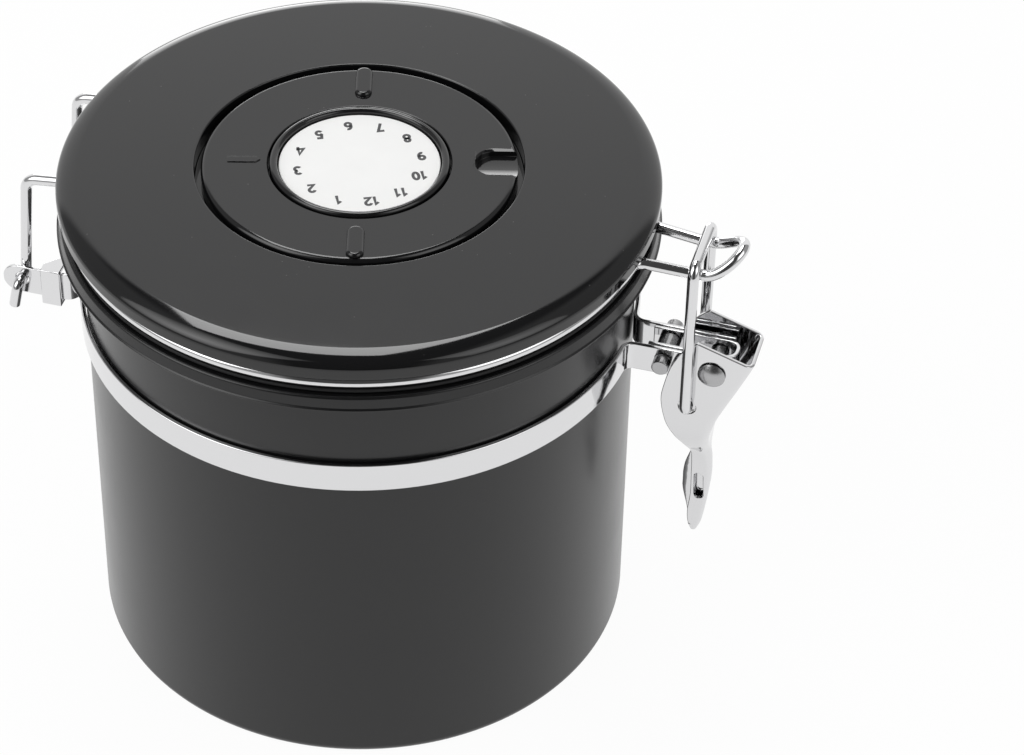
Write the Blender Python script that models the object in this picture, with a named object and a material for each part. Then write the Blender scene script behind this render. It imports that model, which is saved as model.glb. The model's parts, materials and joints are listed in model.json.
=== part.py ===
# Coffee canister with a wire-hinged lid, a lever clasp and a turning date disc
# Frame: origin on the can's axis at its foot, +X towards the clasp, -X the hinge, +Z up
# All sizes are millimetres, made metres where a mesh is built

import bpy
import bmesh
from math import sin, cos, pi, radians, degrees, sqrt, atan2
from mathutils import Vector

MM = 0.001

# Clearances
GAP = 0.3            # between two pieces that touch
PIVOT_GAP = 0.3      # round a pin in its hole

# Can: one drawn steel cup with a flanged, turned-down rim
CAN_R = 60.5
CAN_WALL = 0.8
CAN_H = 109.5
FOOT_RADIUS = 2.6
RIM_OVERHANG = 5.1
RIM_SKIRT = 3.1
RIM_LEAN = 0.9
RIM_SHEET = 0.9

# Clamp band and what it carries
STRIP_T = 1.0
BAND_H = 7.0
BAND_Z = 81.2        # lower edge of the band
EAR_HALF = 4.0       # middle of each front ear from the centre plane
BEND_R = 2.5         # where a strip turns outwards
EAR_PAST_PIVOT = 3.0
CLAMP_OUT = 7.9      # clamp screw, out from the band
CLAMP_HEAD_R = 1.9
CLAMP_HEAD_H = 2.8
CLAMP_R = 1.4
SPACER_WALL = 0.7

# Lever clasp
LEVER_OUT = 19.2     # lever rivet, out from the band
LEVER_UP = 4.1       # lever rivet above the band's lower edge
LEVER_T = 0.9
LEVER_HALF = 6.3     # outside of a cheek from the centre plane
TAIL_HALF = 1.35     # outside of the closed tail from the centre plane
WEB_CHAMFER = 1.0
RIVET_R = 1.5
RIVET_HEAD_R = 3.05
RIVET_HEAD_H = 1.4
BRACKET_T = 0.9
BRACKET_H = 6.0
BRACKET_REACH = 4.6  # closed end past the rivet
BRACKET_INSET = 15.0 # legs run back from the rivet
BAIL_R = 1.25
BAIL_BACK = 5.0      # bail hole behind the rivet
BAIL_DOWN = 10.5     # bail hole below the rivet
BAIL_BEND = 2.6
BAIL_HOLE_R = 2.0
SLOT_W = 2.1
SLOT_L = 7.4
SLOT_BACK = 2.15     # hang slot's middle behind and below the rivet
SLOT_DOWN = 37.4
SLOT_TILT = 93       # degrees

# Lid wire: hinge arms, ring under the lid and clasp loop, bent from one rod
WIRE_R = 1.25
WIRE_OVER = 0.85     # daylight from the wire up to the lid's edge
WIRE_BEND = 3.0
LOOP_HALF = 6.4
LOOP_NARROW = 5.8    # under the bail
LOOP_DROP = 0.7      # the loop runs this much lower than the ring
LOOP_RISE = 4.6      # upturned tip
LOOP_FLAT = 2.2      # level each way from the bail's crossbar
LOOP_NOSE = 6.6
HINGE_OUT = 11.2     # hinge pin, out from the band
HINGE_UP = 4.0       # hinge pin above the band's lower edge
ARM_HALF = 15.5
ARM_LEAN = 2.0       # arms lean in this much from pin to top
ARM_DROP = 0.9       # arms' top below the ring
WIRE_TAIL = 5.8      # bent-down end outside each hinge leg
TAIL_LEAN = 1.2
WIRE_PAST_LEG = 2.7
PIN_BEND = 1.5

# Hinge bracket and its crimped clips
LEG_T = 0.9
LEG_GAP = 0.25       # arm to leg
LEG_END = 1.1        # centre of the rounded end past the hinge pin
CLIP_T = 0.9
CLIP_X0 = 1.9        # clip starts this far out from the band
CLIP_W = 4.5
CLIP_LIP = 6.5
CLIP_LIP_TIP = 1.6

# Lid
LID_INSET = 0.4      # lid edge inside the rim's reach
LID_RISE = 5.1
LID_FLANK = 2.2
LID_CROWN = 5.7
LID_DOME = 1.0       # the top rises this much from the crown to the pan
LID_WALL = 1.2
GASKET_T = 0.9
GASKET_W = 10.4
GASKET_INSET = 1.6
BASE_T = 1.4
PLUG_DEPTH = 4.5
PLUG_CLEAR = 7.3     # lets the plug swing out past the mouth
WIRE_SEAT = 0.35

# Date disc
PAN_DEPTH = 4.0
DISC_W = 14.3        # from the dial's bore out to the edge
DISC_GAP = 1.4
DISC_TURN = 15.5     # degrees the disc stands turned from the clasp
GRIP_IN = 3.3        # grip's inner end from the bore
GRIP_OUT = 0.6       # grip's outer end from the edge
GRIP_W = 3.8
GRIP_H = 1.0
NOTCH_IN = 4.9       # notch's closed end from the bore
NOTCH_W = 8.8
NOTCH_DEPTH = 2.0
ARROW_IN = 1.5       # pointer's tip from the bore
ARROW_L = 7.1
ARROW_W = 1.1
ARROW_DEPTH = 0.3

# Dial
BEZEL_R = 19.4
BEZEL_RIM = 1.7
BEZEL_PROUD = 0.6
PLATE_T = 1.0
PLATE_SINK = 1.1     # number plate below the bezel's top
LEDGE_W = 3.7
SPINDLE_R = 2.0
SPINDLE_HEAD_R = 3.0
SPINDLE_HEAD_H = 0.35
SPINDLE_FOOT_R = 4.0
SPINDLE_FOOT_H = 1.1

# Valve under the dial
CHAMBER_R = 13.0
FILTER_CAP_T = 1.2
FILTER_T = 1.8
SEAT_T = 1.5
SEAT_STEP = 1.2
FLAP_R = 8.5
FLAP_T = 0.9
STEM_R = 1.2
BULB_R = 1.8
BULB_H = 0.4
PORT_R = 1.3
PORT_AT = 5.2
VENT_R = 1.5
VENT_AT = 8.0

# Facets
SEG = 64
SEG_MID = 40
SEG_HIDDEN = 32
SEG_SMALL = 20
ARC_STEPS = 6

# Derived places
RIM_R = CAN_R + RIM_OVERHANG
CAN_BORE = CAN_R - CAN_WALL
BAND_IN = CAN_R + GAP
BAND_OUT = BAND_IN + STRIP_T
BAND_MID_Z = BAND_Z + BAND_H / 2
LEVER_X = BAND_OUT + LEVER_OUT
LEVER_Z = BAND_Z + LEVER_UP
CLAMP_X = BAND_OUT + CLAMP_OUT
EAR_OUT = EAR_HALF + STRIP_T / 2
EAR_IN = EAR_HALF - STRIP_T / 2
BRACKET_HALF = EAR_IN - GAP - BRACKET_T / 2
HINGE_X = -(BAND_OUT + HINGE_OUT)
HINGE_Z = BAND_Z + HINGE_UP
LEG_IN = ARM_HALF + WIRE_R + LEG_GAP
LEG_HALF = LEG_IN + LEG_T / 2
GASKET_Z = CAN_H + GAP
FLANGE_Z = GASKET_Z + GASKET_T + GAP
WIRE_Z = FLANGE_Z + WIRE_R + 0.15
LID_Z = WIRE_Z + WIRE_R + WIRE_OVER
LID_TOP = LID_Z + LID_RISE
LID_PEAK = LID_TOP + LID_DOME
LID_R = RIM_R - LID_INSET
LID_BORE = LID_R - LID_WALL
PAN_Z = LID_PEAK - PAN_DEPTH
PAN_UNDER = PAN_Z - LID_WALL
PLUG_Z = FLANGE_Z - PLUG_DEPTH
PLUG_R = CAN_BORE - PLUG_CLEAR
RING_R = CAN_R + 2.5
BASE_R = RING_R - WIRE_R - WIRE_SEAT
DISC_Z = PAN_Z + GAP
DISC_BORE = BEZEL_R + 0.4
DISC_R = DISC_BORE + DISC_W
GRIP_L = DISC_W - GRIP_IN - GRIP_OUT
GRIP_AT = DISC_BORE + GRIP_IN + GRIP_L / 2
BEZEL_TOP = LID_PEAK + BEZEL_PROUD
PLATE_TOP = BEZEL_TOP - PLATE_SINK
PLATE_Z = PLATE_TOP - PLATE_T
BEZEL_Z = PAN_Z + 2 * GAP
BEZEL_FLOOR = PLATE_Z - 2 * GAP - SPINDLE_HEAD_H
LOOP_Z = WIRE_Z - LOOP_DROP
BAIL_X = LEVER_X - BAIL_BACK
BAIL_Z = LEVER_Z - BAIL_DOWN
BAIL_TOP = LOOP_Z + WIRE_R + BAIL_R + GAP
BAIL_HALF = LOOP_NARROW + WIRE_R + BAIL_R + GAP


for old in list(bpy.data.objects):
    bpy.data.objects.remove(old, do_unlink=True)


def material(name, colour, roughness, metallic):
    """A plain Principled surface; colour is linear RGB."""
    mat = bpy.data.materials.new(name)
    mat.use_nodes = True
    shader = mat.node_tree.nodes["Principled BSDF"]
    shader.inputs["Base Color"].default_value = (*colour, 1.0)
    shader.inputs["Roughness"].default_value = roughness
    shader.inputs["Metallic"].default_value = metallic
    mat.diffuse_color = (*colour, 1.0)
    return mat


def finish(name, bm, look, origin=(0, 0, 0), smooth=True):
    """Turn a bmesh in millimetres into a named object whose origin is given in millimetres."""
    bmesh.ops.recalc_face_normals(bm, faces=bm.faces)
    bmesh.ops.translate(bm, verts=bm.verts, vec=-Vector(origin))
    bmesh.ops.scale(bm, verts=bm.verts, vec=(MM, MM, MM))
    mesh = bpy.data.meshes.new(name)
    bm.to_mesh(mesh)
    bm.free()
    obj = bpy.data.objects.new(name, mesh)
    bpy.context.scene.collection.objects.link(obj)
    obj.location = Vector(origin) * MM
    if look:
        mesh.materials.append(material(name + "_finish", *look))
    if smooth:
        mesh.shade_smooth()
        mesh.set_sharp_from_angle(angle=radians(35))
    return obj


def arc(cx, cy, rx, ry, start, end, steps=ARC_STEPS):
    """Points along an ellipse's arc, angles in degrees, both ends included."""
    return [(cx + rx * cos(radians(start + (end - start) * i / steps)),
             cy + ry * sin(radians(start + (end - start) * i / steps))) for i in range(steps + 1)]


def turned_mesh(profile, segments):
    """Lathe a closed (radius, height) loop about +Z; points at radius 0 become one pole."""
    bm = bmesh.new()
    rings = []
    for r, z in profile:
        if r < 1e-6:
            rings.append([bm.verts.new((0, 0, z))])
        else:
            rings.append([bm.verts.new((r * cos(2 * pi * i / segments), r * sin(2 * pi * i / segments), z))
                          for i in range(segments)])
    for a, b in zip(rings, rings[1:] + rings[:1]):
        if len(a) == 1 and len(b) == 1:
            continue
        for i in range(segments):
            j = (i + 1) % segments
            corners = [a[i % len(a)], a[j % len(a)], b[j % len(b)], b[i % len(b)]]
            bm.faces.new(list(dict.fromkeys(corners)))
    return bm


def turned(name, profile, look, segments=SEG):
    return finish(name, turned_mesh(profile, segments), look)


def prism_mesh(outline, low, high, place, bm=None):
    """Extrude a closed outline; place(u, v, w) gives the point for outline (u, v) at depth w."""
    bm = bm or bmesh.new()
    near = [bm.verts.new(place(u, v, low)) for u, v in outline]
    far = [bm.verts.new(place(u, v, high)) for u, v in outline]
    bm.faces.new(near)
    bm.faces.new(far)
    count = len(outline)
    for i in range(count):
        j = (i + 1) % count
        bm.faces.new((near[i], near[j], far[j], far[i]))
    return bm


def along_y(u, v, w):
    """Outline in the XZ plane, depth along Y."""
    return (u, w, v)


def along_z(u, v, w):
    return (u, v, w)


def circle(cx, cy, r, segments=SEG_SMALL):
    return [(cx + r * cos(2 * pi * i / segments), cy + r * sin(2 * pi * i / segments))
            for i in range(segments)]


def stadium(cx, cy, length, width, turn=0.0, steps=ARC_STEPS):
    """A slot outline, its long axis turned from +u by the given degrees."""
    half, r = (length - width) / 2, width / 2
    points = arc(half, 0, r, r, -90, 90, steps) + arc(-half, 0, r, r, 90, 270, steps)
    c, s = cos(radians(turn)), sin(radians(turn))
    return [(cx + c * u - s * v, cy + s * u + c * v) for u, v in points]


def loft(name, sections, look, origin=(0, 0, 0)):
    """Skin closed sections that have the same number of points, and cap both ends."""
    bm = bmesh.new()
    rings = [[bm.verts.new(p) for p in section] for section in sections]
    for a, b in zip(rings, rings[1:]):
        for i in range(len(a)):
            j = (i + 1) % len(a)
            bm.faces.new((a[i], a[j], b[j], b[i]))
    bm.faces.new(rings[0])
    bm.faces.new(rings[-1])
    return finish(name, bm, look, origin)


def strip(name, stations, thickness, look):
    """Bend a flat strip along stations of (x, y, middle height, half height)."""
    sections = []
    for i, (x, y, z, half) in enumerate(stations):
        before = Vector(stations[max(i - 1, 0)][:2])
        after = Vector(stations[min(i + 1, len(stations) - 1)][:2])
        run = (after - before).normalized()
        side = Vector((-run.y, run.x)) * thickness / 2
        sections.append([(x + side.x, y + side.y, z - half), (x - side.x, y - side.y, z - half),
                         (x - side.x, y - side.y, z + half), (x + side.x, y + side.y, z + half)])
    return loft(name, sections, look)


def rounded(points, radius, steps=4):
    """Replace each inner corner of a 3-D path by an arc of the given bend radius."""
    path = [Vector(points[0])]
    for before, corner, after in zip(points, points[1:], points[2:]):
        before, corner, after = Vector(before), Vector(corner), Vector(after)
        a, b = (before - corner).normalized(), (after - corner).normalized()
        angle = a.angle(b)
        cut = radius / (sin(angle / 2) / cos(angle / 2))
        centre = corner + (a + b).normalized() * radius / sin(angle / 2)
        start, end = corner + a * cut - centre, corner + b * cut - centre
        for k in range(steps + 1):
            path.append(centre + start.slerp(end, k / steps).normalized() * radius)
    path.append(Vector(points[-1]))
    return path


def rod(name, path, radius, look, origin=(0, 0, 0)):
    """A round wire along a path, with flat ends."""
    curve = bpy.data.curves.new(name, "CURVE")
    curve.dimensions = "3D"
    curve.bevel_depth = radius * MM
    curve.bevel_resolution = 2
    curve.use_fill_caps = True
    spline = curve.splines.new("POLY")
    spline.points.add(len(path) - 1)
    for point, place in zip(spline.points, path):
        point.co = (*((Vector(place) - Vector(origin)) * MM), 1.0)
    obj = bpy.data.objects.new(name, curve)
    bpy.context.scene.collection.objects.link(obj)
    obj.location = Vector(origin) * MM
    curve.materials.append(material(name + "_finish", *look))
    return obj


def cut(obj, bm, name, operation="DIFFERENCE"):
    """Boolean a tool mesh, given in millimetres, into obj."""
    tool = finish(name, bm, None, smooth=False)
    tool.hide_render = True
    tool.display_type = "WIRE"
    tool.parent = obj
    tool.matrix_parent_inverse.translation = -obj.location
    modifier = obj.modifiers.new(name, "BOOLEAN")
    modifier.operation = operation
    modifier.solver = "EXACT"
    modifier.object = tool


def pivot(name, place):
    """An empty on a joint's axis."""
    empty = bpy.data.objects.new(name, None)
    empty.location = Vector(place) * MM
    empty.empty_display_size = 10 * MM
    bpy.context.scene.collection.objects.link(empty)
    return empty


def carry(empty, pieces):
    """Parent pieces to a pivot where they stand."""
    for piece in pieces:
        piece.parent = empty
        piece.location = piece.location - empty.location


# Finishes: colour (linear), roughness, metallic
BLACK_SATIN = ((0.045, 0.045, 0.047), 0.38, 0.3)
BLACK_GLOSS = ((0.035, 0.035, 0.037), 0.18, 0.2)
BLACK_PLASTIC = ((0.03, 0.03, 0.031), 0.4, 0.0)
SILICONE = ((0.02, 0.02, 0.02), 0.6, 0.0)
CHROME = ((0.75, 0.75, 0.77), 0.12, 1.0)
STEEL = ((0.6, 0.6, 0.62), 0.25, 1.0)
WHITE = ((0.85, 0.85, 0.86), 0.35, 0.0)
FELT = ((0.5, 0.49, 0.45), 0.95, 0.0)


def can_body():
    skirt_top = CAN_H - 0.3
    outside = [(0, 0)] + arc(CAN_R - FOOT_RADIUS, FOOT_RADIUS, FOOT_RADIUS, FOOT_RADIUS, -90, 0, 4)
    inner_foot = FOOT_RADIUS - CAN_WALL
    rim = [(CAN_R, CAN_H - RIM_SHEET), (RIM_R - RIM_LEAN - RIM_SHEET, CAN_H - RIM_SHEET),
           (RIM_R - RIM_SHEET, CAN_H - RIM_SKIRT), (RIM_R, CAN_H - RIM_SKIRT),
           (RIM_R - RIM_LEAN, skirt_top), (RIM_R - RIM_LEAN - 0.4, CAN_H), (CAN_BORE + 0.4, CAN_H),
           (CAN_BORE, CAN_H - 0.4)]
    inside = arc(CAN_R - FOOT_RADIUS, FOOT_RADIUS, inner_foot, inner_foot, 0, -90, 4) + [(0, CAN_WALL)]
    return turned("can_body", outside + rim + inside, BLACK_SATIN)


def turn_out(half, ring_r, end_x, bend, away=1):
    """Plan points of a strip from the end of a leg at y = half, round its bend and onto a ring.

    The ring runs away from the centre plane (away = 1) or towards it (away = -1). The ring's angle
    at the bend's end, in degrees, comes back too.
    """
    y = half + away * bend
    x = sqrt((ring_r + bend) ** 2 - y ** 2)
    angle = degrees(atan2(y, x))
    return [(end_x, half)] + arc(x, y, bend, bend, -90 * away, angle - 180 * away, 4), angle


def mirrored(points):
    """The same plan points on the other side of the centre plane, in reverse order."""
    return [(x, -y) for x, y in points[::-1]]


def clamp_band():
    ring = BAND_IN + STRIP_T / 2
    far, start = turn_out(EAR_HALF, ring, LEVER_X + EAR_PAST_PIVOT, BEND_R)
    round_can = arc(0, 0, ring, ring, start, 360 - start, 56)
    plan = far + round_can[1:-1] + mirrored(far)
    stations = [(x, y, BAND_MID_Z, BAND_H / 2) for x, y in plan]
    band = strip("clamp_band", stations, STRIP_T, CHROME)
    holes = prism_mesh(circle(LEVER_X, LEVER_Z, RIVET_R + PIVOT_GAP), -EAR_OUT - 1, EAR_OUT + 1, along_y)
    prism_mesh(circle(CLAMP_X, LEVER_Z, CLAMP_R + PIVOT_GAP), -EAR_OUT - 1, EAR_OUT + 1, along_y, holes)
    cut(band, holes, "band_holes")
    return band


def latch_bracket():
    """U-shaped strip between the ears that closes in front of the lever rivet."""
    end = LEVER_X + BRACKET_REACH - BRACKET_T / 2
    back = LEVER_X - BRACKET_INSET
    corner = 1.4
    plan = [(back, -BRACKET_HALF)] + arc(end - corner, -BRACKET_HALF + corner, corner, corner, -90, 0, 3)
    plan += mirrored(plan)
    middle = BAND_Z + BAND_H - BRACKET_H / 2
    stations = [(x, y, middle, BRACKET_H / 2) for x, y in plan]
    bracket = strip("latch_bracket", stations, BRACKET_T, CHROME)
    reach = BRACKET_HALF + BRACKET_T
    holes = prism_mesh(circle(LEVER_X, LEVER_Z, RIVET_R + PIVOT_GAP), -reach, reach, along_y)
    prism_mesh(circle(CLAMP_X, LEVER_Z, CLAMP_R + PIVOT_GAP), -reach, reach, along_y, holes)
    cut(bracket, holes, "latch_bracket_holes")
    return bracket


def pin_mesh(x, z, outline):
    """A turned pin along Y: outline is (radius, y) from one end to the other."""
    bm = turned_mesh([(0, outline[0][1])] + outline + [(0, outline[-1][1])], SEG_SMALL)
    for v in bm.verts:
        v.co = (x + v.co.x, v.co.z, z + v.co.y)
    return bm


def lever_rivet():
    seat = LEVER_HALF + GAP
    dome = arc(0, 0, RIVET_HEAD_R, RIVET_HEAD_H, 0, 75, 4)
    near = [(r, -seat - h) for r, h in dome[::-1]]
    far = [(r, seat + h) for r, h in dome]
    outline = near + [(RIVET_R, -seat), (RIVET_R, seat)] + far
    return finish("lever_rivet", pin_mesh(LEVER_X, LEVER_Z, outline), STEEL, (LEVER_X, 0, LEVER_Z))


def clamp_screw():
    seat = EAR_OUT + GAP
    head = [(CLAMP_HEAD_R - 0.3, -seat - CLAMP_HEAD_H), (CLAMP_HEAD_R, -seat - CLAMP_HEAD_H + 0.3),
            (CLAMP_HEAD_R, -seat)]
    stem = [(CLAMP_R, -seat), (CLAMP_R, seat + CLAMP_HEAD_H + 0.6)]
    return finish("clamp_screw", pin_mesh(CLAMP_X, LEVER_Z, head + stem), STEEL)


def ring_on_y(name, x, z, inner, outer, low, high, look):
    """A plain sleeve along Y."""
    bm = turned_mesh([(inner, low), (outer, low), (outer, high), (inner, high)], SEG_SMALL)
    for v in bm.verts:
        v.co = (x + v.co.x, v.co.z, z + v.co.y)
    return finish(name, bm, look)


def clamp_nut():
    seat = EAR_OUT + GAP
    return ring_on_y("clamp_nut", CLAMP_X, LEVER_Z, CLAMP_R + 0.1, CLAMP_HEAD_R, seat,
                     seat + CLAMP_HEAD_H, STEEL)


def clamp_spacer():
    reach = BRACKET_HALF - BRACKET_T / 2 - GAP
    inner = CLAMP_R + PIVOT_GAP
    return ring_on_y("clamp_spacer", CLAMP_X, LEVER_Z, inner, inner + SPACER_WALL, -reach, reach, STEEL)


def latch_lever():
    """Folded sheet lever: two cheeks, a web on the outer edge, and a tail pressed flat."""
    half, tail, narrow = LEVER_HALF, TAIL_HALF, (LEVER_HALF + TAIL_HALF) / 2
    # inner edge (x, z), outer edge (x, z), half width, extra reach of the far leaf; from the rivet
    stations = [((-3.5, 7.6), (9.0, 3.4), half, 0), ((-6.4, 5.0), (7.8, 0.4), half, 0),
                ((-9.0, 0.1), (5.6, -4.7), half, 0), ((-10.4, -5.3), (3.5, -9.4), half, 0),
                ((-10.9, -10.0), (1.7, -13.6), half, 0), ((-9.7, -15.7), (0.9, -16.2), half, 0),
                ((-7.7, -19.5), (0.2, -19.0), half - 0.4, 0),
                ((-5.6, -22.9), (-0.2, -22.5), narrow + 0.6, 0),
                ((-4.3, -26.0), (-0.2, -26.0), tail + 0.85, 0), ((-4.1, -29.0), (0.3, -29.0), tail, 0.6),
                ((-4.0, -34.0), (0.5, -34.0), tail, 2.0), ((-3.9, -40.1), (0.0, -40.1), tail, 2.3),
                ((-4.3, -45.0), (-0.6, -45.2), tail, 0.7), ((-4.1, -48.4), (-1.2, -48.8), tail, 0.1),
                ((-3.2, -51.0), (-2.1, -51.2), tail - 0.25, 0)]
    sections = []
    for inner, outer, wide, flare in stations:
        run = Vector((outer[0] - inner[0], 0, outer[1] - inner[1]))
        length = run.length
        run.normalize()
        start = Vector((LEVER_X + inner[0], 0, LEVER_Z + inner[1]))
        web = min(LEVER_T * 1.15, length * 0.45)
        chamfer = min(WEB_CHAMFER, wide * 0.6, length * 0.4)
        inside = wide - LEVER_T
        outline = [(0, -wide), (length - chamfer, -wide), (length, -wide + chamfer),
                   (length, wide - chamfer), (length - chamfer, wide), (-flare, wide),
                   (-flare, inside), (length - web, inside), (length - web, -inside), (0, -inside)]
        sections.append([start + run * along + Vector((0, y, 0)) for along, y in outline])
    lever = loft("latch_lever", sections, CHROME, (LEVER_X, 0, LEVER_Z))
    reach = LEVER_HALF + 2
    holes = prism_mesh(circle(LEVER_X, LEVER_Z, RIVET_R + PIVOT_GAP), -reach, reach, along_y)
    prism_mesh(circle(BAIL_X, BAIL_Z, BAIL_HOLE_R, 16), -reach, reach, along_y, holes)
    prism_mesh(stadium(LEVER_X - SLOT_BACK, LEVER_Z - SLOT_DOWN, SLOT_L, SLOT_W, SLOT_TILT, 4),
               -reach, 0, along_y, holes)
    cut(lever, holes, "lever_holes")
    return lever


def latch_bail():
    inside = LEVER_HALF - LEVER_T - 0.4
    points = [(BAIL_X, -inside, BAIL_Z), (BAIL_X, -BAIL_HALF, BAIL_Z), (BAIL_X, -BAIL_HALF, BAIL_TOP),
              (BAIL_X, BAIL_HALF, BAIL_TOP), (BAIL_X, BAIL_HALF, BAIL_Z), (BAIL_X, inside, BAIL_Z)]
    return rod("latch_bail", rounded(points, BAIL_BEND), BAIL_R, CHROME, (BAIL_X, 0, BAIL_Z))


def lid_wire():
    """One rod: hinge pin, arm, half the ring, the clasp loop, and back the same way."""
    pin_y = -(LEG_IN + LEG_T + WIRE_PAST_LEG)
    arm_plan, back = turn_out(ARM_HALF, RING_R, -HINGE_X, WIRE_BEND)
    loop_plan, front = turn_out(LOOP_HALF, RING_R, BAIL_X - LOOP_FLAT, WIRE_BEND)
    top = (HINGE_X + ARM_LEAN, -ARM_HALF, WIRE_Z - ARM_DROP)
    path = rounded([(HINGE_X - TAIL_LEAN, pin_y, HINGE_Z - WIRE_TAIL), (HINGE_X, pin_y, HINGE_Z),
                    (HINGE_X, -ARM_HALF, HINGE_Z), top], PIN_BEND)[:-1]
    corner = rounded([path[-1], top, (-arm_plan[1][0], -ARM_HALF, WIRE_Z)], WIRE_BEND)
    path += corner[1:-1]
    path += [(-x, -y, WIRE_Z) for x, y in arm_plan[1:]]
    path += [(x, y, WIRE_Z) for x, y in arc(0, 0, RING_R, RING_R, 180 + back, 360 - front, 26)[1:-1]]
    path += [(x, -y, WIRE_Z) for x, y in loop_plan[:0:-1]]
    path += [(BAIL_X - LOOP_FLAT, -LOOP_NARROW, LOOP_Z)]
    nose_x = BAIL_X + LOOP_FLAT
    for k in range(9):
        turn = radians(90 * k / 9)
        path.append((nose_x + LOOP_NOSE * sin(turn), -LOOP_NARROW * cos(turn),
                     LOOP_Z + LOOP_RISE * sin(turn) ** 1.5))
    near = [Vector(p) for p in path]
    nose = Vector((nose_x + LOOP_NOSE, 0, LOOP_Z + LOOP_RISE))
    far = [Vector((p.x, -p.y, p.z)) for p in near[::-1]]
    return rod("lid_wire", near + [nose] + far, WIRE_R, CHROME, (HINGE_X, 0, HINGE_Z))


def hinge_bracket():
    """Strip behind the band with two legs turned out and rounded at their ends."""
    ring = BAND_OUT + GAP + LEG_T / 2
    end_r = BAND_H / 2
    end_x = -HINGE_X + LEG_END
    side, start = turn_out(LEG_HALF, ring, end_x, BEND_R, -1)
    tip = [(end_x + end_r * sin(radians(a)), LEG_HALF, end_r * cos(radians(a))) for a in (80, 62, 44, 26)]
    leg = tip + [(x, y, end_r) for x, y in side]
    web = [(x, y, end_r) for x, y in arc(0, 0, ring, ring, start, -start, 6)]
    half = leg + web[1:-1] + [(x, -y, h) for x, y, h in leg[::-1]]
    stations = [(-x, -y, BAND_MID_Z, h) for x, y, h in half]
    bracket = strip("hinge_bracket", stations, LEG_T, CHROME)
    reach = LEG_HALF + LEG_T
    holes = prism_mesh(circle(HINGE_X, HINGE_Z, WIRE_R + PIVOT_GAP), -reach, reach, along_y)
    cut(bracket, holes, "hinge_holes")
    return bracket


def hinge_clip(name, side):
    """Channel crimped over one leg, its lips tapering towards the hinge."""
    near = LEG_HALF + LEG_T / 2 + GAP
    far = near + CLIP_T
    low, high = BAND_Z - GAP, BAND_Z + BAND_H + GAP
    sections = []
    for x, lip in ((-(BAND_OUT + CLIP_X0), CLIP_LIP), (-(BAND_OUT + CLIP_X0 + CLIP_W), CLIP_LIP_TIP)):
        tip = near - lip
        outline = [(far, low - CLIP_T), (far, high + CLIP_T), (tip, high + CLIP_T), (tip, high),
                   (near, high), (near, low), (tip, low), (tip, low - CLIP_T)]
        sections.append([(x, side * y, z) for y, z in outline])
    return loft(name, sections, CHROME)


def lid_cap():
    crown_x = LID_R - LID_CROWN
    crown_z = LID_Z + LID_FLANK
    bore = DISC_R + DISC_GAP
    outside = [(LID_BORE, LID_Z), (LID_R, LID_Z)]
    outside += arc(crown_x, crown_z, LID_CROWN, LID_RISE - LID_FLANK, 0, 90, 5)
    run, dome = crown_x - bore - 0.3, []
    for k in range(1, 5):
        dome.append((crown_x - run * k / 4, LID_PEAK - LID_DOME * (1 - k / 4) ** 2))
    pan = [(bore, LID_PEAK - 0.3), (bore, PAN_Z), (SPINDLE_R + PIVOT_GAP, PAN_Z),
           (SPINDLE_R + PIVOT_GAP, PAN_UNDER), (bore + LID_WALL, PAN_UNDER),
           (bore + LID_WALL, LID_PEAK - LID_WALL), (crown_x - run / 2, LID_PEAK - LID_DOME / 4 - LID_WALL)]
    inside = arc(crown_x, crown_z, LID_CROWN - LID_WALL, LID_RISE - LID_FLANK - LID_WALL, 90, 0, 3)
    cap = turned("lid_cap", outside + dome + pan + inside, BLACK_GLOSS)
    vents = bmesh.new()
    for k in range(4):
        turn = radians(45 + 90 * k)
        prism_mesh(circle(VENT_AT * cos(turn), VENT_AT * sin(turn), VENT_R, 12), PAN_UNDER - 1, PAN_Z + 1,
                   along_z, vents)
    cut(cap, vents, "pan_vents")
    return cap


def lid_base():
    """Moulded liner: plug, chamber wall round the valve, and flange that seats the wire."""
    top = LID_TOP - LID_WALL - 0.5
    tube = CHAMBER_R + BASE_T
    outline = [(CHAMBER_R, PLUG_Z), (PLUG_R - 1.0, PLUG_Z), (PLUG_R - 0.4, PLUG_Z + 0.6),
               (PLUG_R, FLANGE_Z), (BASE_R, FLANGE_Z), (BASE_R, top), (BASE_R - 1.2, top),
               (BASE_R - 1.2, FLANGE_Z + BASE_T), (PLUG_R - BASE_T, FLANGE_Z + BASE_T),
               (PLUG_R - BASE_T - 0.4, PLUG_Z + BASE_T), (tube, PLUG_Z + BASE_T),
               (tube, PAN_UNDER - GAP), (CHAMBER_R, PAN_UNDER - GAP)]
    return turned("lid_base", outline, BLACK_PLASTIC)


def lid_gasket():
    outer = LID_R - GASKET_INSET
    inner = outer - GASKET_W
    top = GASKET_Z + GASKET_T
    outline = [(inner, GASKET_Z + 0.2), (inner + 0.3, GASKET_Z), (outer - 0.3, GASKET_Z),
               (outer, GASKET_Z + 0.3), (outer, top - 0.2), (outer - 0.2, top), (inner, top)]
    return turned("lid_gasket", outline, SILICONE)


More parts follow.
